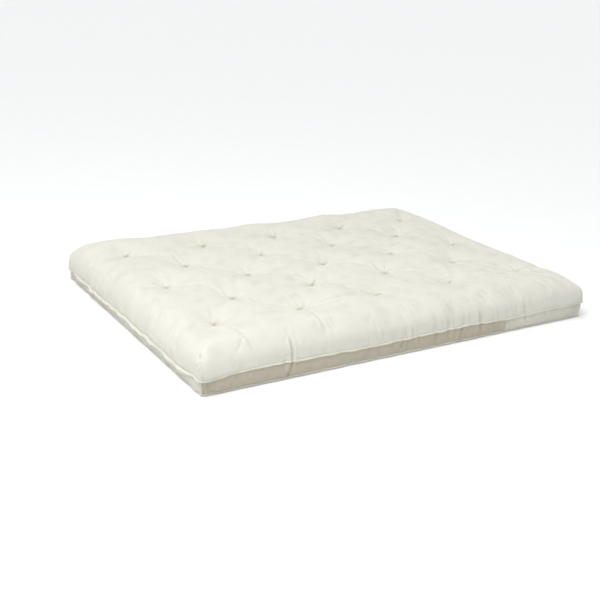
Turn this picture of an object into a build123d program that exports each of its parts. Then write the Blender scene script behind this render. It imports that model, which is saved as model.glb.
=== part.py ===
from build123d import *
import os

# A tufted futon mattress: a canvas cover of two panels and a boxed border, bound along both
# edges, round layers of cotton batting and a foam core, tied through with twine at each tuft.
# Origin: centre of the underside. +X runs along the long side, +Y from the seat edge to the
# back edge, +Z up. Millimetres.

# Overall size
LENGTH = 1900.0  # along X
DEPTH = 1400.0  # along Y
HEIGHT = 180.0  # underside to crown
CORNER_R = 60.0  # upright corners, seen from above

# Cover
CLOTH_T = 1.0  # canvas
ROLL_R = 72.0  # shoulder where the top panel turns down into the side
UNDER_R = 25.0  # where the roll tucks back in above the top seam
TOP_SEAM_Z = 66.0  # height of the seam between top panel and border
BORDER_TUCK = 8.0  # how far the border stands back from the roll
FRONT_JOINT_X = 490.0  # vertical joint between the two strips of a long side

# Bound edges
BINDING_T = 5.0  # how far a binding stands out from the border
TOP_BINDING = (58.0, 70.0)  # lower and upper edge
BOTTOM_BINDING = (1.0, 9.0)

# Filling, from the underside up: name and upper face of each layer
FIT_GAP = 0.3  # between the filling and the cover
LAYER_TOPS = {
    "lower_batting_outer": 21.0,
    "lower_batting_inner": 41.0,
    "foam_core": 116.0,
    "upper_batting_inner": 142.0,
    "upper_batting_outer": HEIGHT,
}

# Tufts: five rows, alternately five and four across
TUFT_PITCH_X = 385.0
TUFT_PITCH_Y = 220.0
TUFTS_IN_ROW = (5, 4, 5, 4, 5)
FIRST_ROW_Y = -TUFT_PITCH_Y * (len(TUFTS_IN_ROW) - 1) / 2
TOP_DIMPLE_DEPTH = 30.0
TOP_DIMPLE_R = 75.0  # radius of the dimple's ball
BOTTOM_DIMPLE_DEPTH = 8.0
BOTTOM_DIMPLE_R = 80.0

# Twine ties
TWINE_R = 1.0
STITCH_SPAN = 12.0  # between a tie's two legs
TWINE_BEND_R = 2.5  # where a leg turns into the stitch
KNOT_R = 3.0

# Fold between the seat half and the back half
FOLD_Y = FIRST_ROW_Y + 1.5 * TUFT_PITCH_Y  # midway between the second and third tuft rows
FOLD_GAP = 0.3  # between the halves

REACH = 3000.0  # side of a cutting block, larger than the mattress


def tuft_places():
    """Centre of every tuft on the plan."""
    places = []
    for row, count in enumerate(TUFTS_IN_ROW):
        y = FIRST_ROW_Y + row * TUFT_PITCH_Y
        for i in range(count):
            places.append(((i - (count - 1) / 2) * TUFT_PITCH_X, y))
    return places


def rounded_block(inset, bottom, top):
    """A block with rounded upright corners, set in from the full outline on every side."""
    outline = RectangleRounded(LENGTH - 2 * inset, DEPTH - 2 * inset, CORNER_R - inset)
    return extrude(Pos(0, 0, bottom) * outline, top - bottom)


def undimpled(depth):
    """The mattress shape, offset inwards by depth, before the tufts pull it in."""
    roll = rounded_block(depth, TOP_SEAM_Z + depth, HEIGHT - depth)
    roll = fillet(roll.edges().group_by(Axis.Z)[-1], ROLL_R - depth)
    roll = fillet(roll.edges().group_by(Axis.Z)[0], UNDER_R - depth)
    band = rounded_block(BORDER_TUCK + depth, depth, TOP_SEAM_Z + UNDER_R)
    return roll + band


def dimples(depth):
    """The balls that press the tufts into the top and the underside."""
    above = HEIGHT + TOP_DIMPLE_R - TOP_DIMPLE_DEPTH
    below = BOTTOM_DIMPLE_DEPTH - BOTTOM_DIMPLE_R
    balls = []
    for x, y in tuft_places():
        balls.append(Pos(x, y, above) * Sphere(TOP_DIMPLE_R + depth))
        balls.append(Pos(x, y, below) * Sphere(BOTTOM_DIMPLE_R + depth))
    return balls


def envelope(depth):
    """The tufted mattress shape, offset inwards by depth."""
    return undimpled(depth) - dimples(depth)


def slab(bottom, top):
    """Everything between two heights."""
    return Pos(0, 0, (bottom + top) / 2) * Box(REACH, REACH, top - bottom)


def halves(name, shape):
    """A piece that crosses the fold, as its seat part and its back part."""
    seat = Pos(0, FOLD_Y - (REACH + FOLD_GAP) / 2, 0) * Box(REACH, REACH, REACH)
    back = Pos(0, FOLD_Y + (REACH + FOLD_GAP) / 2, 0) * Box(REACH, REACH, REACH)
    return {f"{name}_seat": shape & seat, f"{name}_back": shape & back}


def corner_wedge(side):
    """The part of the plan nearest to one side, bounded by the diagonals of its corners."""
    x, y = LENGTH / 2, DEPTH / 2
    inner = x - y
    outlines = {
        "front": [(-x, -y), (x, -y), (inner, 0), (-inner, 0)],
        "back": [(x, y), (-x, y), (-inner, 0), (inner, 0)],
        "left": [(-x, y), (-x, -y), (-inner, 0)],
        "right": [(x, -y), (x, y), (inner, 0)],
    }
    return extrude(make_face(Polyline(*outlines[side], close=True)), HEIGHT)


def border_strips(ring):
    """The border cut into the strips that it is sewn from."""
    joint = Pos(FRONT_JOINT_X - REACH / 2, 0, 0) * Box(REACH, REACH, REACH)
    pieces = {}
    for side in ("front", "back"):
        strip = ring & corner_wedge(side)
        pieces[f"border_{side}_long"] = strip & joint
        pieces[f"border_{side}_short"] = strip - joint
    for side in ("left", "right"):
        pieces.update(halves(f"border_{side}", ring & corner_wedge(side)))
    return pieces


def cover():
    """Top panel, bottom panel and border."""
    shell = envelope(0) - envelope(CLOTH_T)
    floor_outline = rounded_block(BORDER_TUCK + CLOTH_T, 0, TOP_SEAM_Z / 2)
    below_seam = shell & slab(0, TOP_SEAM_Z)
    pieces = halves("top_panel", shell & slab(TOP_SEAM_Z, HEIGHT))
    pieces.update(halves("bottom_panel", below_seam & floor_outline))
    pieces.update(border_strips(below_seam - floor_outline))
    return pieces


def binding(bottom, top):
    """A bound seam standing out all round the border."""
    outer = rounded_block(BORDER_TUCK - BINDING_T, bottom, top)
    levels = outer.edges().group_by(Axis.Z)
    outer = fillet(levels[0] + levels[-1], BINDING_T / 2)
    return outer - rounded_block(BORDER_TUCK, bottom, top)


def filling():
    """Batting and foam, cut from one shape that fits inside the cover."""
    inside = envelope(CLOTH_T + FIT_GAP)
    pieces = {}
    bottom = 0.0
    for name, top in LAYER_TOPS.items():
        pieces.update(halves(name, inside & slab(bottom, top)))
        bottom = top
    return pieces


def tie(x, y):
    """One loop of twine through the mattress: a stitch on top, two legs and a knot below."""
    stitch_z = HEIGHT - TOP_DIMPLE_DEPTH + TWINE_R
    knot_z = BOTTOM_DIMPLE_DEPTH - KNOT_R
    place = Plane((x, y, (stitch_z + knot_z) / 2), x_dir=(1, 0, 0), z_dir=(0, -1, 0))
    path = place * RectangleRounded(STITCH_SPAN, stitch_z - knot_z, TWINE_BEND_R)
    route = path.face().outer_wire()
    start = Plane(route @ 0, z_dir=route % 0)
    loop = sweep(start * Circle(TWINE_R), path=route)
    return loop + Pos(x, y, knot_z) * Rot(0, 90, 0) * Sphere(KNOT_R)


def ties():
    """The ties of each half."""
    groups = {"tuft_ties_seat": [], "tuft_ties_back": []}
    for x, y in tuft_places():
        groups["tuft_ties_seat" if y < FOLD_Y else "tuft_ties_back"].append(tie(x, y))
    return {name: Compound(children=loops) for name, loops in groups.items()}


def main():
    pieces = cover()
    pieces.update(halves("top_edge_binding", binding(*TOP_BINDING)))
    pieces.update(halves("bottom_edge_binding", binding(*BOTTOM_BINDING)))
    pieces.update(filling())
    pieces.update(ties())
    os.makedirs("parts", exist_ok=True)
    for name, shape in pieces.items():
        shape.label = name
        export_step(shape, f"parts/{name}.step")


main()
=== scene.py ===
"""Looks of the tufted futon mattress: its cloth cover, bindings, stitching, twine ties and filling.

Metres, +Z up, in the row frame. The cover is one structured grid for the top panel, one for the
underside and a ring for the border, so that the panels share their seams. The top panel and the
border are settled by cloth simulation, and the small creases are added after it.
"""

import math

import bpy
import numpy as np
from mathutils import Matrix, Vector


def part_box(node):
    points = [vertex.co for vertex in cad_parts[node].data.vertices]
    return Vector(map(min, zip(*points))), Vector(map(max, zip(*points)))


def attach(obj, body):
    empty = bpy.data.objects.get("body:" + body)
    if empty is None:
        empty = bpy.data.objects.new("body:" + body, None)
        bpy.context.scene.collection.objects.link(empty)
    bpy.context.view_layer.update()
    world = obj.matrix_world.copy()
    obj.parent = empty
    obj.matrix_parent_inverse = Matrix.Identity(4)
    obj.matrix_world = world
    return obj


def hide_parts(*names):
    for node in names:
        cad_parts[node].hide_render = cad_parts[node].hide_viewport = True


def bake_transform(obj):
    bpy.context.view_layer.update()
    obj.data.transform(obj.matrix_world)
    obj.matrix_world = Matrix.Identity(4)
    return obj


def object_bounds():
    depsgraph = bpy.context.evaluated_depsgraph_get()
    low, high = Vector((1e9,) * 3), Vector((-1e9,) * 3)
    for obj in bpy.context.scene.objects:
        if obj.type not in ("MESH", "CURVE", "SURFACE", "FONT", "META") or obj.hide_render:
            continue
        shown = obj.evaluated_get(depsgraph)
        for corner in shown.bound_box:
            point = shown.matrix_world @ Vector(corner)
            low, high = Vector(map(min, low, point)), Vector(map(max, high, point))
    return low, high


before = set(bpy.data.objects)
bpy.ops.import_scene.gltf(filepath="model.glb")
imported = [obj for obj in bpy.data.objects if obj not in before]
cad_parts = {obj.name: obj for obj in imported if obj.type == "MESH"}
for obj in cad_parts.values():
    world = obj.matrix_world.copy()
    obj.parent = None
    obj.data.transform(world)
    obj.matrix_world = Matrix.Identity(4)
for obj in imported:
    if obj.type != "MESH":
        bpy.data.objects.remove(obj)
cad_low, cad_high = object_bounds()

# ---------------------------------------------------------------- places read from the frame

HALF_X = (cad_high.x - cad_low.x) / 2
HALF_Y = (cad_high.y - cad_low.y) / 2
CROWN_Z = cad_high.z
SEAM_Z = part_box("top_panel_seat")[0].z
TUCK = HALF_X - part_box("bottom_panel_seat")[1].x
JOINT_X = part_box("border_front_long")[1].x
FOLD_Y = (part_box("foam_core_seat")[1].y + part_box("foam_core_back")[0].y) / 2
STITCH_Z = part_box("tuft_ties_seat")[1].z
KNOT_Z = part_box("tuft_ties_seat")[0].z
TWINE_R, KNOT_R, TIE_SPAN, TIE_BEND = 0.0010, 0.0030, 0.0120, 0.0025

# ---------------------------------------------------------------- shape of the cover

ROLL_IN = 0.115  # how far the roll's shoulder reaches in from the side
ROLL_WIDEST_Z = 0.100  # height where the roll stands out most
TUCK_HEIGHT = 0.045  # half the height of the round that tucks back to the seam
CORNER_R = 0.032  # upright corners, seen from above
LEFT_SEAM_DROP = 0.024  # the top seam lies lower along the left side
BORDER_ROWS = 6
FILLING_GAP = 0.016  # between the filling's sides and the cover
FILLING_CORNER_R = CORNER_R + 0.065
ROOF_GAP = 0.0045  # between the filling and the cover above it

LAYERS = (
    "lower_batting_outer",
    "lower_batting_inner",
    "foam_core",
    "upper_batting_inner",
    "upper_batting_outer",
)

LONG_CREASES = (  # from, to, depth: soft folds on top, on the plan
    ((-0.762, -0.455), (-0.725, -0.700), 0.0028),
    ((-0.385, -0.450), (-0.412, -0.697), 0.0030),
    ((0.395, -0.400), (0.300, -0.560), 0.0014),
    ((0.560, -0.260), (0.640, -0.560), 0.0012),
    ((0.600, -0.200), (0.820, -0.520), 0.0012),
    ((0.790, -0.380), (0.900, -0.580), 0.0013),
    ((0.200, -0.150), (0.330, -0.330), 0.0010),
    ((-0.190, -0.150), (-0.330, -0.020), 0.0009),
)
CORNER_PINCH = (-0.944, -0.652)  # on the top panel's cut: a small gathered hole near its front left corner
CORNER_FOLDS = (  # distance below the hole, shift sideways, depth, length
    (0.014, 0.010, 0.0022, 0.024),
    (0.034, 0.002, 0.0026, 0.034),
    (0.056, 0.010, 0.0022, 0.030),
)
FRONT_PLEATS = (  # x, height above the seam that it reaches, depth, width
    (-0.570, 0.105, 0.0070, 0.0065),
    (-0.055, 0.020, 0.0050, 0.0055),
    (0.125, 0.018, 0.0045, 0.0060),
    (0.255, 0.024, 0.0055, 0.0060),
)


def smoothstep(value):
    value = np.clip(value, 0.0, 1.0)
    return value * value * (3 - 2 * value)


def ripples(x, y, wavelength, seed, count=20, spread=0.4):
    """A smooth random undulation of about that wavelength, with a spread of about 1."""
    rng = np.random.default_rng(seed)
    total = np.zeros(np.broadcast(x, y).shape)
    for _ in range(count):
        angle, phase = rng.uniform(0, 2 * math.pi, 2)
        wave = 2 * math.pi / (wavelength * rng.uniform(1 - spread, 1 + spread))
        total += np.cos(wave * (x * math.cos(angle) + y * math.sin(angle)) + phase)
    return total / math.sqrt(count / 2)


def tuft_places():
    """Centre of each tie on the plan, from the vertices of the ties' own nodes."""
    places = []
    for node in ("tuft_ties_seat", "tuft_ties_back"):
        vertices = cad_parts[node].data.vertices
        points = np.array([v.co for v in vertices])[:, :2]
        while len(points):
            near = np.linalg.norm(points - points[0], axis=1) < 0.05
            low, high = points[near].min(0), points[near].max(0)
            places.append(tuple((low + high) / 2))
            points = points[~near]
    return sorted(places, key=lambda place: (round(place[1], 3), place[0]))


TUFTS = tuft_places()


def roll_profile():
    """The roll from the seam inwards: distance along the cloth, inset, and share of the rise."""
    low = math.asin((ROLL_WIDEST_Z - SEAM_Z) / TUCK_HEIGHT)
    under = np.linspace(-low, 0, 60)[:-1]
    over = np.linspace(0, math.pi / 2, 120)
    tuck_r = TUCK / (1 - math.cos(low))
    inset = np.concatenate([tuck_r * (1 - np.cos(under)), ROLL_IN * (1 - np.cos(over))])
    height = np.concatenate([TUCK_HEIGHT * np.sin(under), (CROWN_Z - ROLL_WIDEST_Z) * np.sin(over)])
    height = height + ROLL_WIDEST_Z - SEAM_Z
    steps = np.hypot(np.diff(inset), np.diff(height))
    return np.concatenate([[0], np.cumsum(steps)]), inset, height / height[-1]


ROLL_D, ROLL_INSET, ROLL_RISE = roll_profile()
PANEL_S = HALF_X - ROLL_IN + ROLL_D[-1]  # half the top panel's cut, along X
PANEL_T = HALF_Y - ROLL_IN + ROLL_D[-1]  # and along Y


def top_inset(distance):
    """How far in from the side the top panel is, at a distance along the cloth from its seam."""
    beyond = np.maximum(distance - ROLL_D[-1], 0)
    return np.interp(distance, ROLL_D, ROLL_INSET) + beyond


def under_inset(distance):
    """The same for the underside, which has no roll."""
    return np.maximum(top_inset(distance), TUCK + 0.15 * distance)


def rounded_corners(x, y, half_x, half_y, radius):
    """Moves the points of a rectangle's corners in, so that its outline is round there."""
    a = np.clip((np.abs(x) - half_x + radius) / radius, 0, 1)
    b = np.clip((np.abs(y) - half_y + radius) / radius, 0, 1)
    move_x = radius * a * (1 - np.sqrt(1 - b * b / 2))
    move_y = radius * b * (1 - np.sqrt(1 - a * a / 2))
    return x - np.sign(x) * move_x, y - np.sign(y) * move_y


def plan(s, t, inset=top_inset):
    """Where a point of a panel's flat cut lies on the plan."""
    x = np.sign(s) * (HALF_X - inset(PANEL_S - np.abs(s)))
    y = np.sign(t) * (HALF_Y - inset(PANEL_T - np.abs(t)))
    return rounded_corners(x, y, HALF_X, HALF_Y, CORNER_R)


def seam_height(x, y):
    """Height of the top seam, which dips along the left side, away from the near corner."""
    left = smoothstep((-x - HALF_X + 0.075) / 0.075) * smoothstep((y + HALF_Y) / 0.28)
    wander = 0.0028 * ripples(x, y, 0.55, 11) + 0.0010 * ripples(x, y, 0.12, 12)
    return SEAM_Z - LEFT_SEAM_DROP * left + wander


def crown_height(x, y):
    """Height of the top between the tufts: lower to the right, waved along the far edges."""
    right = smoothstep((x - 0.55) / 0.40)
    back = smoothstep((y - 0.40) / 0.30)
    height = CROWN_Z - 0.005 - 0.003 * right
    height = height + 0.007 * right * np.cos(2 * math.pi * (y - 0.43) / 1.02)
    height = height - back * (0.004 + 0.007 * x) + 0.003 * back * np.cos(2 * math.pi * (x + 0.02) / 0.385)
    return height + 0.0022 * ripples(x, y, 0.33, 21)


def tuft_pull(x, y):
    """How strongly the tufts pull the top down: a wide dish with a small pit, 1 at a tuft."""
    rest = np.ones_like(x)
    for cx, cy in TUFTS:
        reach = np.hypot((x - cx) / 1.2, y - cy)
        dish = 0.62 * np.exp(-((reach / 0.070) ** 1.5))
        pit = 0.38 * np.exp(-((reach / 0.020) ** 1.3))
        rest *= 1 - dish - pit
    return 1 - rest


def top_shape(s, t):
    """The top panel before its small creases: an array of points over the grid s, t."""
    x, y = plan(s, t)
    rise = [np.interp(end - np.abs(u), ROLL_D, ROLL_RISE) for end, u in ((PANEL_S, s), (PANEL_T, t))]
    lack = [(1 - share) / np.maximum(share, 1e-6) for share in rise]
    rise = 1 / (1 + np.hypot(*lack))
    foot = seam_height(x, y)
    crown = crown_height(x, y)
    crown = crown - (crown - STITCH_Z + 0.002) * tuft_pull(x, y)
    return np.stack([x, y, foot + (crown - foot) * rise], -1)


def graded(half, centres, fine, coarse, reach):
    """Grid lines from -half to half, closer together near the centres."""
    line = np.linspace(-half, half, 4001)
    near = np.min([np.abs(line - c) for c in centres], axis=0)
    step = fine + (coarse - fine) * smoothstep((near - reach) / reach)
    count = np.concatenate([[0], np.cumsum(np.diff(line) / ((step[1:] + step[:-1]) / 2))])
    return np.interp(np.linspace(0, count[-1], int(round(count[-1])) + 1), count, line)


def between(line):
    """The same line with a point added midway between neighbours."""
    out = np.empty(2 * len(line) - 1)
    out[::2] = line
    out[1::2] = (line[1:] + line[:-1]) / 2
    return out


def doubled(points, axis):
    """Points with new ones between them along one axis, on a smooth curve through them."""
    points = np.moveaxis(points, axis, 0)
    padded = np.concatenate([2 * points[:1] - points[1:2], points, 2 * points[-1:] - points[-2:-1]])
    middle = (9 * (padded[1:-2] + padded[2:-1]) - padded[:-3] - padded[3:]) / 16
    out = np.empty((2 * len(points) - 1,) + points.shape[1:])
    out[::2] = points
    out[1::2] = middle
    return np.moveaxis(out, 0, axis)


def rim(points):
    """The edge of a grid as a closed loop, from the front left corner and along the front."""
    return np.concatenate([points[0, :-1], points[:-1, -1], points[-1, :0:-1], points[:0:-1, 0]])


# ---------------------------------------------------------------- meshes


def grid_faces(rows, columns, offset=0):
    """Quads over a grid of vertices numbered row by row."""
    index = np.arange(rows * columns).reshape(rows, columns) + offset
    return np.stack([index[:-1, :-1], index[:-1, 1:], index[1:, 1:], index[1:, :-1]], -1).reshape(-1, 4)


def new_mesh(name, points, faces, smooth=True):
    """A mesh object from arrays of points and of faces."""
    mesh = bpy.data.meshes.new(name)
    mesh.from_pydata(points.reshape(-1, 3).tolist(), [], [list(map(int, f)) for f in faces])
    mesh.update()
    if smooth:
        mesh.shade_smooth()
    thing = bpy.data.objects.new(name, mesh)
    bpy.context.scene.collection.objects.link(thing)
    return thing


def give_uv(thing, coordinates):
    """Lays the cloth's own flat coordinates, in metres, on the mesh as its UV map."""
    layer = thing.data.uv_layers.new(name="cloth")
    corner = np.empty(len(thing.data.loops), np.int32)
    thing.data.loops.foreach_get("vertex_index", corner)
    layer.data.foreach_set("uv", coordinates.reshape(-1, 2)[corner].astype(np.float32).ravel())


def give_painted_shade(thing, shade):
    """Stores how much painted shade each point gets, from 0 to 1: the canvas darkens its colour by it."""
    layer = thing.data.attributes.new("painted_shade_amount", "FLOAT", "POINT")
    layer.data.foreach_set("value", np.clip(shade, 0, 1).astype(np.float32).ravel())


def eased_corners(top, s, t):
    """The top panel smoothed near its corners, where the cut's edges meet, and pushed out there."""
    away = np.hypot(PANEL_S - np.abs(s), PANEL_T - np.abs(t))
    weight = 0.5 * np.exp(-((away / 0.075) ** 2))[1:-1, 1:-1, None]
    for _ in range(16):
        middle = (top[:-2, 1:-1] + top[2:, 1:-1] + top[1:-1, :-2] + top[1:-1, 2:]) / 4
        top[1:-1, 1:-1] += weight * (middle - top[1:-1, 1:-1])
    ear = 0.0055 * np.exp(-(((away - 0.070) / 0.050) ** 2))
    top[..., 0] += np.sign(s) * ear
    top[..., 1] += np.sign(t) * ear
    return top


def grid_normals(points):
    """Unit normals of a grid of points."""
    normal = np.cross(np.gradient(points, axis=1), np.gradient(points, axis=0))
    return normal / np.maximum(np.linalg.norm(normal, axis=-1, keepdims=True), 1e-12)


# ---------------------------------------------------------------- cloth simulation


def settle(top, ring):
    """Inflates the top panel and the border between their pins, and returns them as they settle."""
    rows, columns = top.shape[:2]
    loop = rim(np.arange(rows * columns).reshape(rows, columns))
    faces = [grid_faces(rows, columns)]
    above = loop
    for k in range(1, len(ring)):
        below = rows * columns + (k - 1) * len(loop) + np.arange(len(loop))
        faces.append(np.stack([above, below, np.roll(below, -1), np.roll(above, -1)], -1))
        above = below
    points = np.concatenate([top.reshape(-1, 3), ring[1:].reshape(-1, 3)])
    cloth = new_mesh("settling", points, np.concatenate(faces))
    pins = cloth.vertex_groups.new(name="pins")
    held = [int(i) for i in above]
    for cx, cy in TUFTS:
        gap = np.hypot(points[:, 0] - cx, points[:, 1] - cy)
        gap[points[:, 2] < 0.1] = 1
        held += [int(i) for i in np.nonzero(gap < max(0.007, gap.min() * 1.01))[0]]
    pins.add(held, 1.0, "REPLACE")
    pins.add([int(i) for i in loop], 0.25, "REPLACE")
    modifier = cloth.modifiers.new("Cloth", "CLOTH")
    setting = modifier.settings
    setting.quality = 5
    setting.mass = 0.25
    setting.tension_stiffness = 14
    setting.compression_stiffness = 10
    setting.shear_stiffness = 4
    setting.bending_stiffness = 0.35
    setting.air_damping = 2.0
    setting.vertex_group_mass = "pins"
    setting.shrink_min = -0.009
    setting.use_pressure = True
    setting.uniform_pressure_force = 2.2
    setting.effector_weights.gravity = 0
    modifier.collision_settings.use_collision = False
    scene = bpy.context.scene
    for step in range(1, 19):
        scene.frame_set(step)
    settled = cloth.evaluated_get(bpy.context.evaluated_depsgraph_get())
    moved = np.empty(len(points) * 3, np.float32)
    settled.data.vertices.foreach_get("co", moved)
    moved = moved.reshape(-1, 3).astype(float) - points
    bpy.data.objects.remove(cloth)
    scene.frame_set(1)
    length = np.linalg.norm(moved, axis=1, keepdims=True)
    cap = 0.011
    moved *= np.tanh(length / cap) * cap / np.maximum(length, 1e-9)
    points = points + moved
    ring = np.concatenate([points[loop][None], points[rows * columns :].reshape(len(ring) - 1, -1, 3)])
    return points[: rows * columns].reshape(rows, columns, 3), ring


# ---------------------------------------------------------------- small creases


def groove(distance, width):
    """A crease across its line: a valley with a soft ridge on each side."""
    across = distance / width
    return -np.exp(-(across**2)) + 0.38 * np.exp(-((np.abs(across) - 1.9) ** 2))


def along_line(x, y, start, end):
    """Distance to the left of a line, and the share of its length."""
    dx, dy = end[0] - start[0], end[1] - start[1]
    length = math.hypot(dx, dy)
    share = ((x - start[0]) * dx + (y - start[1]) * dy) / length**2
    return ((y - start[1]) * dx - (x - start[0]) * dy) / length, share


def pinch(x, y, centre, number):
    """The puckers of one tuft: two arms that curve to the back, and fine rays around it."""
    rng = np.random.default_rng(300 + number)
    dx, dy = x - centre[0], y - centre[1]
    reach = np.hypot(dx, dy)
    lift = np.zeros_like(x)
    for side in (-1, 1):
        tilt = math.radians(rng.uniform(8, 38))
        length = rng.uniform(0.030, 0.058)
        depth = rng.uniform(0.0055, 0.0085)
        along = side * dx * math.cos(tilt) + dy * math.sin(tilt)
        across = dy * math.cos(tilt) - side * dx * math.sin(tilt) - 2.2 * along**2 * rng.uniform(0.3, 1.0)
        fade = smoothstep(1 - along / length) * smoothstep(along / 0.004 + 1)
        lift += depth * groove(across, 0.0044 + 0.05 * np.maximum(along, 0)) * fade
    angle = np.arctan2(dy, dx)
    count = rng.integers(6, 10)
    rays = np.cos(count * angle + rng.uniform(0, 6)) + 0.6 * np.cos((count + 3) * angle + rng.uniform(0, 6))
    lift += 0.0011 * rays * np.exp(-((reach - 0.030) ** 2) / 0.024**2)
    return lift


def top_creases(points):
    """Height of the small creases over the top, from the points' places on the plan."""
    x, y = points[..., 0], points[..., 1]
    lift = np.zeros_like(x)
    for number, centre in enumerate(TUFTS):
        near = np.hypot(x - centre[0], y - centre[1]) < 0.13
        lift[near] += pinch(x[near], y[near], centre, number)
    for start, end, depth in LONG_CREASES:
        across, share = along_line(x, y, start, end)
        across = across + 0.006 * np.sin(3.0 * share)
        fade = smoothstep(share / 0.12) * smoothstep((1 - share) / 0.25)
        lift += depth * groove(across, 0.0075) * fade
    patches = smoothstep(ripples(x, y, 0.42, 41) * 0.6 + 0.35)
    lines = np.exp(-((ripples(x, 0.8 * y, 0.13, 42) / 0.16) ** 2))
    lift -= 0.0012 * patches * lines
    lift += 0.0008 * ripples(x, y, 0.11, 43) + 0.0002 * ripples(x, y, 0.035, 44)
    front_right = smoothstep((x + 0.1) / 0.5) * smoothstep((-y - 0.25) / 0.25)
    slanted = ripples(x + 0.55 * y, 0.12 * y, 0.040, 45)
    return lift + 0.0009 * front_right * slanted


def corner_pinch(s, t):
    """The gathered hole near the front left corner, and the short folds below it on the corner."""
    ds, dt = s - CORNER_PINCH[0], t - CORNER_PINCH[1]
    lift = -0.0095 * np.exp(-(((ds - 0.5 * dt) ** 2 + 2 * dt**2) / 0.0075**2))
    down, round_it = -(ds + dt) / math.sqrt(2), (ds - dt) / math.sqrt(2)
    for place, shift, depth, length in CORNER_FOLDS:
        across = down - place - 6.0 * (round_it - shift) ** 2
        lift += depth * groove(across, 0.0058) * np.exp(-(((round_it - shift) / length) ** 2))
    return lift


def gathers(x, y, above):
    """Puckers across the top seam: x, y on the plan, above is the distance above the seam."""
    on_side = np.abs(x) / HALF_X > np.abs(y) / HALF_Y
    run = np.where(on_side, y, x)
    strength = 0.55 + 0.45 * smoothstep(ripples(run, 0 * run, 0.5, 51) + 0.3)
    strength = strength + 0.7 * (y < 0) * ~on_side * smoothstep((x + 0.45) / 0.4)
    fade = np.where(above > 0, np.exp(-above / 0.042), np.exp(above / 0.030))
    fine = ripples(run + 0.10 * above, 0 * run, 0.026, 52) + 0.7 * ripples(run, 0 * run, 0.060, 53)
    steady = 0.35 + 0.65 * smoothstep(np.abs(above) / 0.014)
    lift = 0.0013 * strength * fine * fade * steady
    for place, reach, depth, width in FRONT_PLEATS:
        bend = place + 0.05 * np.clip(above, 0, 0.03) + 0.30 * np.minimum(above, 0)
        height = smoothstep((reach - above) / 0.03)
        lift = lift + (y < -0.5) * ~on_side * depth * groove(x - bend, width) * height
    return lift


def corner_puckers(x, y, above):
    """The gathered cloth at each corner of the top seam."""
    lift = np.zeros_like(x)
    for number, (cx, cy) in enumerate(((-1, -1), (1, -1), (1, 1), (-1, 1))):
        dx, dy = HALF_X * cx - x, HALF_Y * cy - y
        angle = np.arctan2(np.abs(dy), np.abs(dx))
        reach = np.hypot(dx, dy)
        waves = np.cos(13 * angle + number) + 0.5 * np.cos(21 * angle + 2 * number)
        fade = np.exp(-((reach - 0.035) ** 2) / 0.050**2) * np.exp(-np.maximum(above, 0) / 0.05)
        lift += 0.0024 * waves * fade
    return lift


# ---------------------------------------------------------------- the cover


def edge_distance(s, t):
    """Distance along the cloth to the nearest seam, over a panel's flat cut."""
    return np.minimum(PANEL_S - np.abs(s), PANEL_T - np.abs(t))


def build_cover():
    """Grids of points: the top panel, the border ring and the underside, and their cut lines."""
    columns = sorted({round(x, 3) for x, _ in TUFTS})
    lines = sorted({round(y, 3) for _, y in TUFTS})
    s_line = graded(PANEL_S, [*columns, CORNER_PINCH[0]], 0.0088, 0.0182, 0.028)
    t_line = graded(PANEL_T, [*lines, CORNER_PINCH[1]], 0.0068, 0.0178, 0.024)
    s, t = np.meshgrid(s_line, t_line)
    top = top_shape(s, t)
    loop = rim(top)
    x, y = plan(rim(s), rim(t), under_inset)
    foot = np.stack([x, y, np.full_like(x, 0.004)], -1)
    share = np.linspace(0, 1, BORDER_ROWS)[:, None, None]
    ring = loop * (1 - share) + foot * share
    ring = ring + 0.0035 * np.sin(math.pi * share) * loop_outward(loop)
    top, ring = settle(top, ring)
    top = doubled(doubled(eased_corners(top, s, t), 0), 1)
    closed = np.concatenate([ring[:, -3:], ring, ring[:, :4]], 1)
    ring = doubled(doubled(closed, 1), 0)[:, 6:-7]
    ring[0] = rim(top)
    return top, ring, np.meshgrid(between(s_line), between(t_line)), (s, t)


def add_top_detail(top, s, t):
    """Adds the creases to the top panel; returns its points and the painted shade of each: darker in crease
    valleys, at the tuft pits and in a thin band along the seam.
    """
    normal = grid_normals(top)
    above = edge_distance(s, t)
    flat_part = smoothstep((above - 0.03) / 0.06)
    lift = top_creases(top) * flat_part
    lift += gathers(top[..., 0], top[..., 1], above) + corner_puckers(top[..., 0], top[..., 1], above)
    lift += corner_pinch(s, t)
    lift += 0.0016 * np.exp(-((above - 0.010) ** 2) / 0.006**2)
    near = np.min([np.hypot(top[..., 0] - x, top[..., 1] - y) for x, y in TUFTS], axis=0)
    # painted shade: darker in the valleys of the creases, in a thin band at the seam under the roll, and at
    # each tuft's pit
    painted_shade = -np.minimum(lift, 0) / 0.005 + 0.8 * np.exp(-above / 0.004) + 2.3 * np.exp(-((near / 0.015) ** 2))
    return top + normal * lift[..., None], painted_shade


def add_border_detail(ring, top_loop):
    """Adds the folds to the border, and keeps its upper edge on the top panel's."""
    closed = np.concatenate([ring[:, -2:], ring, ring[:, :2]], 1)
    normal = -grid_normals(closed)[:, 2:-2]
    above = ring[..., 2] - ring[:1, :, 2]
    lift = gathers(ring[..., 0], ring[..., 1], above)
    lift += corner_puckers(ring[..., 0], ring[..., 1], above)
    lift += 0.0006 * ripples(ring[..., 0], ring[..., 1] + 3 * ring[..., 2], 0.05, 61)
    lift -= 0.0022 * np.exp(-((ring[..., 0] - JOINT_X) ** 2) / 0.0035**2)
    ring = ring + normal * lift[..., None]
    ring[0] = top_loop
    # painted shade: darker in the folds' valleys and in a band just below the top seam, under the roll's
    # overhang
    painted_shade = -np.minimum(lift, 0) / 0.005 + 0.7 * np.exp(above / 0.007)
    return ring, painted_shade


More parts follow.
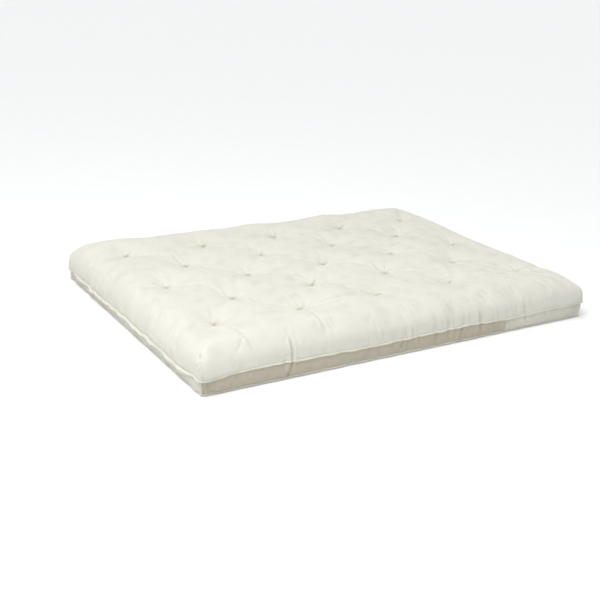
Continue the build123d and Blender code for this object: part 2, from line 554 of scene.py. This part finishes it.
def under_shape(s, t):
    """The underside, flat where it rests, drawn up at the ties."""
    x, y = plan(s, t, under_inset)
    z = 0.004 * smoothstep(1 - edge_distance(s, t) / 0.030)
    for number, (cx, cy) in enumerate(TUFTS):
        reach = np.hypot(x - cx, y - cy)
        angle = np.arctan2(y - cy, x - cx)
        z = np.maximum(z, 0.0088 * np.exp(-((reach / 0.020) ** 1.8)))
        z = z + 0.0012 * np.maximum(np.cos(7 * angle + number), 0) * np.exp(-((reach - 0.03) ** 2) / 0.02**2)
    z = z + 0.0010 * smoothstep(ripples(x, y, 0.16, 71) - 0.4)
    return np.stack([x, y, z], -1)


def in_cover(piece, nodes, material):
    """What every piece that crosses the fold needs: its nodes hidden, its cloth, and its shape baked in
    place.
    """
    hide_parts(*nodes)
    piece.data.materials.append(material)
    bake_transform(piece)


def halves(name):
    return [f"{name}_seat", f"{name}_back"]


# ---------------------------------------------------------------- materials


def shader(name, roughness, sheen=0.0):
    """A new material with its Principled shader."""
    material = bpy.data.materials.new(name)
    material.use_nodes = True
    nodes = material.node_tree.nodes
    principled = nodes["Principled BSDF"]
    principled.inputs["Roughness"].default_value = roughness
    principled.inputs["Specular IOR Level"].default_value = 0.25
    principled.inputs["Sheen Weight"].default_value = sheen
    principled.inputs["Sheen Roughness"].default_value = 0.6
    return material, nodes, material.node_tree.links, principled


def math_node(nodes, links, operation, first, second=None):
    """A Math node fed by sockets or numbers."""
    node = nodes.new("ShaderNodeMath")
    node.operation = operation
    for slot, value in enumerate((first, second)):
        if isinstance(value, (int, float)):
            node.inputs[slot].default_value = value
        elif value is not None:
            links.new(value, node.inputs[slot])
    return node.outputs[0]


def noise(nodes, links, vector, scale, detail=3.0, stretch=None):
    """Noise over a vector, optionally stretched."""
    if stretch:
        mapping = nodes.new("ShaderNodeMapping")
        mapping.inputs["Scale"].default_value = stretch
        links.new(vector, mapping.inputs["Vector"])
        vector = mapping.outputs[0]
    node = nodes.new("ShaderNodeTexNoise")
    node.inputs["Scale"].default_value = scale
    node.inputs["Detail"].default_value = detail
    links.new(vector, node.inputs["Vector"])
    return node.outputs["Fac"]


def stripes(nodes, links, vector, direction, pitch):
    """Threads lying side by side, that far apart, from 0 to 1."""
    node = nodes.new("ShaderNodeTexWave")
    node.bands_direction = direction
    node.inputs["Scale"].default_value = 2 * math.pi / 20 / pitch
    node.inputs["Distortion"].default_value = 0.6
    node.inputs["Detail"].default_value = 1.0
    node.inputs["Detail Scale"].default_value = 0.3
    links.new(vector, node.inputs["Vector"])
    return node.outputs["Fac"]


def ramp(nodes, links, value, stops):
    """A colour ramp."""
    node = nodes.new("ShaderNodeValToRGB")
    elements = node.color_ramp.elements
    while len(elements) < len(stops):
        elements.new(0.5)
    for element, (place, colour) in zip(elements, stops):
        element.position = place
        element.color = (*colour, 1)
    links.new(value, node.inputs["Fac"])
    return node.outputs["Color"]


def mixed(nodes, links, factor, first, second, mode="MIX"):
    """Two colours mixed by a factor."""
    node = nodes.new("ShaderNodeMix")
    node.data_type = "RGBA"
    node.blend_type = mode
    for socket, value in ((node.inputs["Factor"], factor), (node.inputs[6], first), (node.inputs[7], second)):
        if isinstance(value, (int, float)):
            socket.default_value = value
        elif isinstance(value, tuple):
            socket.default_value = (*value, 1)
        else:
            links.new(value, socket)
    return node.outputs[2]


def bump(nodes, links, height, distance, strength, below=None):
    """A Bump node, over another one if given."""
    node = nodes.new("ShaderNodeBump")
    node.inputs["Strength"].default_value = strength
    node.inputs["Distance"].default_value = distance
    links.new(height, node.inputs["Height"])
    if below is not None:
        links.new(below, node.inputs["Normal"])
    return node.outputs["Normal"]


def canvas(name, light, dark, pitch=0.0013):
    """Unbleached cotton canvas: plain weave with slubs and seed flecks, with painted shade darkening it where
    the mesh's shade attribute says.
    """
    material, nodes, links, principled = shader(name, 0.92, 0.12)
    cloth = nodes.new("ShaderNodeUVMap")
    cloth.uv_map = "cloth"
    flat = cloth.outputs["UV"]
    warp = stripes(nodes, links, flat, "X", pitch)
    weft = stripes(nodes, links, flat, "Y", pitch)
    weave = math_node(nodes, links, "MAXIMUM", warp, weft)
    weave = math_node(nodes, links, "ADD", weave, math_node(nodes, links, "MULTIPLY", warp, weft))
    slub_a = noise(nodes, links, flat, 60, 2, (0.15, 6, 1))
    slub_b = noise(nodes, links, flat, 60, 2, (6, 0.15, 1))
    slub = math_node(nodes, links, "ADD", slub_a, slub_b)
    tone = noise(nodes, links, flat, 3.2, 4)
    colour = ramp(nodes, links, tone, ((0.30, dark), (0.70, light)))
    thread = ramp(nodes, links, slub, ((0.75, (0.93, 0.92, 0.90)), (1.00, (1.0, 1.0, 1.0))))
    colour = mixed(nodes, links, 0.55, colour, thread, "MULTIPLY")
    flecks = noise(nodes, links, flat, 260, 1)
    fleck = ramp(nodes, links, flecks, ((0.745, (0, 0, 0)), (0.79, (1, 1, 1))))
    fleck = math_node(nodes, links, "MULTIPLY", fleck, 0.30)
    colour = mixed(nodes, links, fleck, colour, (0.36, 0.27, 0.15))
    # painted shade: the colour is darkened towards grey brown by the mesh's painted shade amount, in creases,
    # tuft pits and along seams
    painted_shade_amount = nodes.new("ShaderNodeAttribute")
    painted_shade_amount.attribute_name = "painted_shade_amount"
    depth = math_node(nodes, links, "MULTIPLY", painted_shade_amount.outputs["Fac"], 0.30)
    colour = mixed(nodes, links, depth, colour, (0.42, 0.36, 0.27))
    links.new(colour, principled.inputs["Base Color"])
    rumple = noise(nodes, links, flat, 42, 4)
    normal = bump(nodes, links, rumple, 0.0010, 0.25)
    normal = bump(nodes, links, slub, 0.0004, 0.5, normal)
    normal = bump(nodes, links, weave, 0.0004, 0.45, normal)
    links.new(normal, principled.inputs["Normal"])
    return material


def fibres(name, light, dark, scale):
    """Loose fibres or foam cells, seen from outside."""
    material, nodes, links, principled = shader(name, 0.95, 0.05)
    place = nodes.new("ShaderNodeTexCoord").outputs["Object"]
    tufts = noise(nodes, links, place, scale, 6)
    hair = noise(nodes, links, place, scale * 6, 3, (1, 0.2, 1))
    colour = ramp(nodes, links, tufts, ((0.3, dark), (0.7, light)))
    links.new(colour, principled.inputs["Base Color"])
    normal = bump(nodes, links, tufts, 0.004, 0.6)
    links.new(bump(nodes, links, hair, 0.0012, 0.5, normal), principled.inputs["Normal"])
    return material


def twine(name):
    """Waxed cotton twine."""
    material, nodes, links, principled = shader(name, 0.7, 0.05)
    place = nodes.new("ShaderNodeTexCoord").outputs["Object"]
    strands = noise(nodes, links, place, 900, 3)
    colour = ramp(nodes, links, strands, ((0.35, (0.36, 0.31, 0.23)), (0.65, (0.54, 0.48, 0.38))))
    links.new(colour, principled.inputs["Base Color"])
    links.new(bump(nodes, links, strands, 0.0004, 0.7), principled.inputs["Normal"])
    return material


# ---------------------------------------------------------------- bindings and stitching


def binding_points(loop, outward, tall, flap, droop):
    """A tape folded over a seam: rows of points along the loop, each across the tape.

    tall is half its height where it meets the cover, flap how far it stands out, droop its slope.
    """
    angle = np.radians(np.linspace(-118, 118, 13))
    out = flap[:, None] * (np.cos(angle) + 0.47) / 1.47
    up = tall * np.sin(angle) * (1 - 0.45 * np.clip(out / flap[:, None], 0, 1)) - droop * out
    points = loop[:, None] + outward[:, None] * (out - 0.0008)[..., None]
    points[..., 2] += up
    return points


def hoop_mesh(name, points):
    """A strip that runs round in a hoop: points is places round the hoop by points across."""
    places, across = points.shape[:2]
    index = np.arange(places * across).reshape(places, across)
    after = np.roll(index, -1, 0)
    faces = np.stack([index[:, :-1], after[:, :-1], after[:, 1:], index[:, 1:]], -1).reshape(-1, 4)
    return new_mesh(name, points, faces)


def loop_outward(loop):
    """Outward directions on the plan along a closed loop."""
    ahead = np.roll(loop, -1, 0) - np.roll(loop, 1, 0)
    out = np.stack([ahead[:, 1], -ahead[:, 0], 0 * ahead[:, 0]], -1)
    return out / np.linalg.norm(out, axis=1, keepdims=True)


def resampled(loop, step):
    """A closed loop with points evenly apart, and the distance along it."""
    closed = np.concatenate([loop, loop[:1]])
    gone = np.concatenate([[0], np.cumsum(np.linalg.norm(np.diff(closed, axis=0), axis=1))])
    run = np.linspace(0, gone[-1], int(round(gone[-1] / step)), endpoint=False)
    return np.stack([np.interp(run, gone, closed[:, k]) for k in range(3)], -1), run


def stitches(name, loop, outward, pitch, length, radius):
    """A row of running stitches along a loop, each a short bead of thread."""
    places = resampled(loop, pitch)[0]
    ahead = np.roll(places, -1, 0) - places
    ahead /= np.linalg.norm(ahead, axis=1, keepdims=True)
    nearest = np.argmin(np.linalg.norm(places[:, None, :2] - loop[None, ::8, :2], axis=2), axis=1) * 8
    out = outward[nearest]
    side = np.cross(ahead, out)
    angle = np.linspace(0, 2 * math.pi, 6, endpoint=False)
    points = []
    for share, fat in ((-0.5, 0.35), (-0.25, 1.0), (0.25, 1.0), (0.5, 0.35)):
        centre = places + ahead * share * length + out * radius * 0.4
        ring = centre[:, None] + fat * radius * (
            np.cos(angle)[None, :, None] * out[:, None] + np.sin(angle)[None, :, None] * side[:, None]
        )
        points.append(ring)
    points = np.stack(points, 1)
    base = np.arange(24).reshape(4, 6)
    after = np.roll(base, -1, 1)
    one = np.concatenate([np.stack([base[k], after[k], after[k + 1], base[k + 1]], -1) for k in range(3)])
    count = len(places)
    quads = (one[None] + 24 * np.arange(count)[:, None, None]).reshape(-1, 4)
    caps = [list(24 * n + base[0][::-1]) for n in range(count)]
    caps += [list(24 * n + base[3]) for n in range(count)]
    return new_mesh(name, points, quads.tolist() + caps)


# ---------------------------------------------------------------- ties


def twisted(path, radius, closed):
    """A two-strand twine along a path: rings of points."""
    if closed:
        ahead = np.roll(path, -1, 0) - np.roll(path, 1, 0)
    else:
        ahead = np.gradient(path, axis=0)
    ahead /= np.linalg.norm(ahead, axis=1, keepdims=True)
    side = np.cross(ahead, np.cross(path[1] - path[0], path[len(path) // 3] - path[0]) + (0, 0, 1e-6))
    side /= np.linalg.norm(side, axis=1, keepdims=True)
    other = np.cross(ahead, side)
    angle = np.linspace(0, 2 * math.pi, 8, endpoint=False)
    turns = np.linspace(0, 2 * math.pi * round(len(path) / 5), len(path))
    size = radius * (0.86 + 0.14 * np.cos(2 * angle[None] - turns[:, None]))
    return path[:, None] + size[..., None] * (
        np.cos(angle)[None, :, None] * side[:, None] + np.sin(angle)[None, :, None] * other[:, None]
    )


def tube_faces(rings, around, offset, closed):
    """Faces of a tube, joined end to end or capped."""
    index = np.arange(rings * around).reshape(rings, around) + offset
    after = np.roll(index, -1, 0)
    quads = np.stack([index, after, np.roll(after, -1, 1), np.roll(index, -1, 1)], -1)
    if closed:
        return quads.reshape(-1, 4).tolist()
    return quads[:-1].reshape(-1, 4).tolist() + [list(index[0][::-1]), list(index[-1])]


def tie_loop(cx, cy):
    """A tie's loop through the mattress, as a closed run of points with rounded turns."""
    top_z, bottom_z, half_span, bend = STITCH_Z - TWINE_R, KNOT_Z + KNOT_R, TIE_SPAN / 2, TIE_BEND
    turns = ((1, top_z, 90, 0), (1, bottom_z, 0, -90), (-1, bottom_z, -90, -180), (-1, top_z, 180, 90))
    points = []
    for side, z, begin, end in turns:
        middle = (cx + side * (half_span - bend), z + (-bend if z == top_z else bend))
        for angle in np.radians(np.linspace(begin, end, 6)):
            points.append((middle[0] + bend * math.cos(angle), cy, middle[1] + bend * math.sin(angle)))
    return resampled(np.array(points), 0.0012)[0]


def knot_turn(cx, cy, number):
    """One turn of the knot round the loop's lower run."""
    turn = np.linspace(0, 2 * math.pi, 20, endpoint=False)
    lean = 0.0007 * np.sin(turn + 2 * number)
    offset = 0.0017 * (number - 1)
    ring = np.stack([offset + lean, 0.0019 * np.cos(turn), 0.0019 * np.sin(turn)], -1)
    return ring + (cx, cy, KNOT_Z + KNOT_R)


def tie_tail(cx, cy, heading, curl):
    """A cut end of twine lying against the underside."""
    share = np.linspace(0, 1, 14)
    reach = 0.013 * share
    x = cx + reach * math.cos(heading) + curl * share**2
    return np.stack([x, cy + reach * math.sin(heading), KNOT_Z + KNOT_R - 0.0003 - 0.0012 * share], -1)


def build_ties(name, places):
    """All the ties of one half, each a closed loop of twine with its knot and two tails."""
    points, faces = [], []
    rng = np.random.default_rng(90)

    def add(path, radius, closed):
        rings = twisted(path, radius, closed)
        offset = sum(len(part) for part in points)
        faces.extend(tube_faces(*rings.shape[:2], offset, closed))
        points.append(rings.reshape(-1, 3))

    for cx, cy in places:
        add(tie_loop(cx, cy), TWINE_R, True)
        for number in range(3):
            add(knot_turn(cx, cy, number), 0.8 * TWINE_R, True)
        for side in (-1, 1):
            heading = math.radians(90 * side + rng.uniform(-35, 35))
            add(tie_tail(cx, cy, heading, rng.uniform(-0.003, 0.003)), 0.8 * TWINE_R, False)
    return new_mesh(name, np.concatenate(points), faces)


# ---------------------------------------------------------------- filling


def build_layer(name, low, high, ceiling, softness, seed):
    """A slab of filling with rounded edges, kept below the cover."""
    edge_z = low + 0.35 * (high - low)
    reach_in = np.interp(edge_z, SEAM_Z + (CROWN_Z - SEAM_Z) * ROLL_RISE, ROLL_INSET)
    inset = FILLING_GAP + float(max(reach_in, TUCK))
    u, v = np.meshgrid(*(np.sin(np.linspace(-1, 1, count) * math.pi / 2) for count in (96, 72)))
    half_x, half_y = HALF_X - inset, HALF_Y - inset
    edge = np.minimum(half_x * (1 - np.abs(u)), half_y * (1 - np.abs(v)))
    x, y = rounded_corners(half_x * u, half_y * v, half_x, half_y, FILLING_CORNER_R)
    round_off = softness * (1 - np.sqrt(1 - (1 - np.clip(edge / softness, 0, 1)) ** 2))
    lumps = 0.0012 * ripples(x, y, 0.07, seed)
    roof = lowest_cover(x, y, ceiling) - ROOF_GAP
    brim = np.minimum(edge_z, roof) if low > ROLL_WIDEST_Z else np.full_like(x, edge_z)
    upper = np.minimum(high - round_off + lumps - 0.0015, roof)
    lower = low + round_off * (brim - low) / softness + lumps + 0.0030
    if low < 0.01:
        for cx, cy in TUFTS:
            reach = np.hypot(x - cx, y - cy)
            lower = np.maximum(lower, 0.0150 * np.exp(-((reach / 0.045) ** 3)))
    upper, lower = np.maximum(upper, brim), np.minimum(lower, brim)
    upper[edge < 1e-9] = brim[edge < 1e-9]
    lower[edge < 1e-9] = brim[edge < 1e-9]
    rows, columns = u.shape
    count = rows * columns
    index = np.arange(2 * count)
    edge_loop = rim(index[:count].reshape(rows, columns))
    index[edge_loop + count] = edge_loop
    faces = np.concatenate([grid_faces(rows, columns), index[grid_faces(rows, columns, count)][:, ::-1]])
    keep, faces = np.unique(faces, return_inverse=True)
    points = np.concatenate([np.stack([x, y, z], -1).reshape(-1, 3) for z in (upper, lower)])[keep]
    return new_mesh(name, points, faces.reshape(-1, 4))


def lowest_cover(x, y, ceiling):
    """Height of the cover's lowest point within about 15 mm of each place."""
    size, margin = 0.01, 0.05
    columns, rows = (int(2 * (half + margin) / size) + 1 for half in (HALF_X, HALF_Y))
    field = np.full((rows, columns), 1.0)
    points = ceiling.reshape(-1, 3)

    def cell(px, py):
        return ((py + HALF_Y + margin) / size).astype(int), ((px + HALF_X + margin) / size).astype(int)

    np.minimum.at(field, cell(points[:, 0], points[:, 1]), points[:, 2])
    shifts = [np.roll(field, (i, j), (0, 1)) for i in (-1, 0, 1) for j in (-1, 0, 1)]
    return np.min(shifts, axis=0)[cell(x, y)]


# ---------------------------------------------------------------- stage, light and camera

CAMERA_ANGLES = (-32.47, 20.63, 2.99)  # azimuth, elevation and roll, in degrees
CAMERA_PLACE = (-2.3612, -3.5355, 1.5780)
CAMERA_LENS = 59.28


def add_camera():
    """A camera a little above the near left corner, with a slight roll."""
    azimuth, elevation, roll = (math.radians(angle) for angle in CAMERA_ANGLES)
    back = Vector(
        (
            math.sin(azimuth) * math.cos(elevation),
            -math.cos(azimuth) * math.cos(elevation),
            math.sin(elevation),
        )
    )
    level = (-back).cross(Vector((0, 0, 1))).normalized()
    above = level.cross(-back)
    right = level * math.cos(roll) + above * math.sin(roll)
    up = above * math.cos(roll) - level * math.sin(roll)
    data = bpy.data.cameras.new("camera")
    data.lens = CAMERA_LENS
    data.sensor_width = 36
    data.clip_end = 200
    camera = bpy.data.objects.new("camera", data)
    camera.matrix_world = Matrix(
        (
            (right.x, up.x, back.x, CAMERA_PLACE[0]),
            (right.y, up.y, back.y, CAMERA_PLACE[1]),
            (right.z, up.z, back.z, CAMERA_PLACE[2]),
            (0, 0, 0, 1),
        )
    )
    bpy.context.scene.collection.objects.link(camera)
    bpy.context.scene.camera = camera


def add_light(name, kind, energy, place, aim, size=1.0, colour=(1, 1, 1)):
    """A lamp at a place, aimed at a point."""
    data = bpy.data.lights.new(name, kind)
    data.energy = energy
    data.color = colour
    if kind == "SUN":
        data.angle = size
    else:
        data.size = size
    lamp = bpy.data.objects.new(name, data)
    lamp.location = place
    lamp.rotation_euler = (Vector(aim) - Vector(place)).to_track_quat("-Z", "Y").to_euler()
    bpy.context.scene.collection.objects.link(lamp)


def add_stage():
    """Pale floor, dim even surroundings, a soft key from above the left side and a soft fill."""
    corners = [(-60, -60, 0), (60, -60, 0), (60, 60, 0), (-60, 60, 0)]
    floor = new_mesh("floor", np.array(corners, float), [(0, 1, 2, 3)], False)
    floor.location.z = -0.0005
    material, nodes, links, principled = shader("floor", 0.9)
    grain = noise(nodes, links, nodes.new("ShaderNodeTexCoord").outputs["Object"], 8, 3)
    paint = ramp(nodes, links, grain, ((0.3, (0.945, 0.955, 0.95)), (0.7, (0.96, 0.97, 0.965))))
    links.new(paint, principled.inputs["Base Color"])
    floor.data.materials.append(material)
    world = bpy.data.worlds.new("surroundings")
    world.use_nodes = True
    nodes, links = world.node_tree.nodes, world.node_tree.links
    height = nodes.new("ShaderNodeSeparateXYZ")
    links.new(nodes.new("ShaderNodeTexCoord").outputs["Generated"], height.inputs[0])
    pale, dim = (0.93, 0.945, 0.94), (0.405, 0.410, 0.420)
    sky = ramp(nodes, links, height.outputs["Z"], ((0.03, pale), (0.10, dim)))
    links.new(sky, nodes["Background"].inputs["Color"])
    bpy.context.scene.world = world
    add_light("key", "SUN", 1.78, (-1.1, 0.2, 5.0), (0, 0, 0), math.radians(55))
    add_light("fill", "AREA", 36, (-1.6, -1.3, 2.7), (-0.4, -0.2, 0.1), 2.0)
    bpy.context.scene.view_settings.view_transform = "Standard"


# ---------------------------------------------------------------- assembly


def main():
    add_camera()
    add_stage()
    ivory, ivory_dark = (0.755, 0.750, 0.672), (0.725, 0.716, 0.635)
    cloth_top = canvas("canvas_top", ivory, ivory_dark)
    # painted shade: the first border canvas is a darker copy of the second, the same cloth, for the strips
    # that lie in shade
    cloth_border_painted_shade = canvas("canvas_border", (0.535, 0.490, 0.395), (0.500, 0.456, 0.364))
    cloth_light = canvas("canvas_border_light", (0.700, 0.685, 0.610), (0.665, 0.645, 0.570))
    cloth_under = canvas("canvas_bottom", (0.76, 0.73, 0.64), (0.71, 0.68, 0.585))
    tape = canvas("canvas_binding", (0.790, 0.780, 0.700), (0.755, 0.742, 0.660), 0.0011)
    thread = twine("thread")
    top, ring, (s, t), (under_s, under_t) = build_cover()
    top, painted_shade = add_top_detail(top, s, t)
    ring, ring_painted_shade = add_border_detail(ring, rim(top))
    rows, columns = top.shape[:2]

    panel = new_mesh("cover_top", top, grid_faces(rows, columns))
    give_uv(panel, np.stack([s, t], -1))
    give_painted_shade(panel, painted_shade)
    in_cover(panel, halves("top_panel"), cloth_top)

    under = under_shape(under_s, under_t)
    rows, columns = under.shape[:2]
    panel = new_mesh("cover_underside", under, grid_faces(rows, columns)[:, ::-1])
    give_uv(panel, under[..., :2])
    # painted shade where the underside is drawn up into the tie dimples
    give_painted_shade(panel, smoothstep(under[..., 2] / 0.009))
    in_cover(panel, halves("bottom_panel"), cloth_under)

    # painted shade: the right, front long and back long strips get the darker copy of the border canvas
    clothes = {name: cloth_light for name in ("left", "front_short", "back_short")}
    clothes.update({name: cloth_border_painted_shade for name in ("right", "front_long", "back_long")})
    add_border(ring, ring_painted_shade, border_runs(ring, *top.shape[:2]), clothes)
    add_edges(ring, tape, thread)

    batting = fibres("cotton_batting", (0.86, 0.84, 0.78), (0.78, 0.75, 0.67), 40)
    foam = fibres("foam", (0.88, 0.83, 0.62), (0.82, 0.76, 0.54), 300)
    for number, name in enumerate(LAYERS):
        low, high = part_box(f"{name}_seat")
        is_foam = name == "foam_core"
        softness = 0.010 if is_foam else 0.5 * (high.z - low.z)
        layer = build_layer(f"layer_{name}", low.z, high.z, top, softness, 100 + number)
        in_cover(layer, halves(name), foam if is_foam else batting)

    cord = twine("twine")
    for half, side in (("seat", -1), ("back", 1)):
        places = [place for place in TUFTS if side * (place[1] - FOLD_Y) > 0]
        ties = build_ties(f"twine_ties_{half}", places)
        ties.data.materials.append(cord)
        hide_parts(f"tuft_ties_{half}")
        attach(ties, f"{half}_half")


def border_runs(ring, rows, columns):
    """Each border strip's name and the part of the ring that it takes."""
    corner = np.cumsum([0, columns - 1, rows - 1, columns - 1, rows - 1])
    front = np.arange(corner[0], corner[1] + 1)
    back = np.arange(corner[2], corner[3] + 1)
    cut_front = int(np.argmin(np.abs(ring[0, front, 0] - JOINT_X)))
    cut_back = int(np.argmin(np.abs(ring[0, back, 0] - JOINT_X)))
    return {
        "front_long": front[: cut_front + 1],
        "front_short": front[cut_front:],
        "right": np.arange(corner[1], corner[2] + 1),
        "back_short": back[: cut_back + 1],
        "back_long": back[cut_back:],
        "left": np.arange(corner[3], corner[4] + 1) % corner[4],
    }


def add_border(ring, painted_shade, runs, clothes):
    """The border strips: the ring cut at its corners and at the joints of the long sides."""
    for number, (name, run) in enumerate(runs.items()):
        points = ring[:, run]
        rows, columns = points.shape[:2]
        height = float(np.linalg.norm(np.diff(points, axis=0), axis=2).sum(0).mean())
        piece = new_mesh(f"strip_{name}", points, grid_faces(rows, columns)[:, ::-1])
        length = np.concatenate([[0], np.cumsum(np.linalg.norm(np.diff(points[0], axis=0), axis=1))])
        give_uv(piece, np.stack(np.meshgrid(length, np.linspace(0, height, rows)), -1) + number)
        give_painted_shade(piece, painted_shade[:, run])
        nodes = halves(f"border_{name}") if name in ("left", "right") else [f"border_{name}"]
        in_cover(piece, nodes, clothes[name])


def add_edges(ring, tape, thread):
    """The bound seams and their stitching."""
    edges = (("top_edge", 0, 0.0030, 0.0058, 0.55), ("bottom_edge", -1, 0.0036, 0.0054, 0.0))
    for name, row, tall, stand, droop in edges:
        loop, run = resampled(ring[row], 0.008)
        outward = loop_outward(loop)
        flap = stand * (1 + 0.10 * ripples(run, 0 * run, 0.09, 82))
        if row == 0:
            left = smoothstep((-loop[:, 0] - HALF_X + 0.05) / 0.04)
            near_end = smoothstep((loop[:, 1] + HALF_Y - 0.06) / 0.05)
            ends = near_end * smoothstep((HALF_Y - 0.06 - loop[:, 1]) / 0.05)
            flap = flap + 0.0065 * left * ends * (1 + 0.15 * ripples(run, 0 * run, 0.13, 84))
            loop[:, 2] += 0.0007 * left * ripples(run, 0 * run, 0.06, 85)
        else:
            loop[:, 2] = 0.0052 + 0.0002 * ripples(loop[:, 0], loop[:, 1], 0.2, 81)
        points = binding_points(loop, outward, tall, flap, droop)
        binding = hoop_mesh(f"tape_{name}", points)
        gone = np.repeat(run[:, None], points.shape[1], 1)
        steps = np.linalg.norm(np.diff(points, axis=1), axis=2)
        across = np.concatenate([0 * run[:, None], np.cumsum(steps, 1)], 1)
        give_uv(binding, np.stack([gone, across], -1))
        give_painted_shade(binding, 0 * gone)
        in_cover(binding, halves(f"{name}_binding"), tape)
        face = points[:, 8]
        seam = stitches(f"stitches_{name}", face, outward, 0.0062, 0.0046, 0.00055)
        seam.data.materials.append(thread)
        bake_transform(seam)


main()
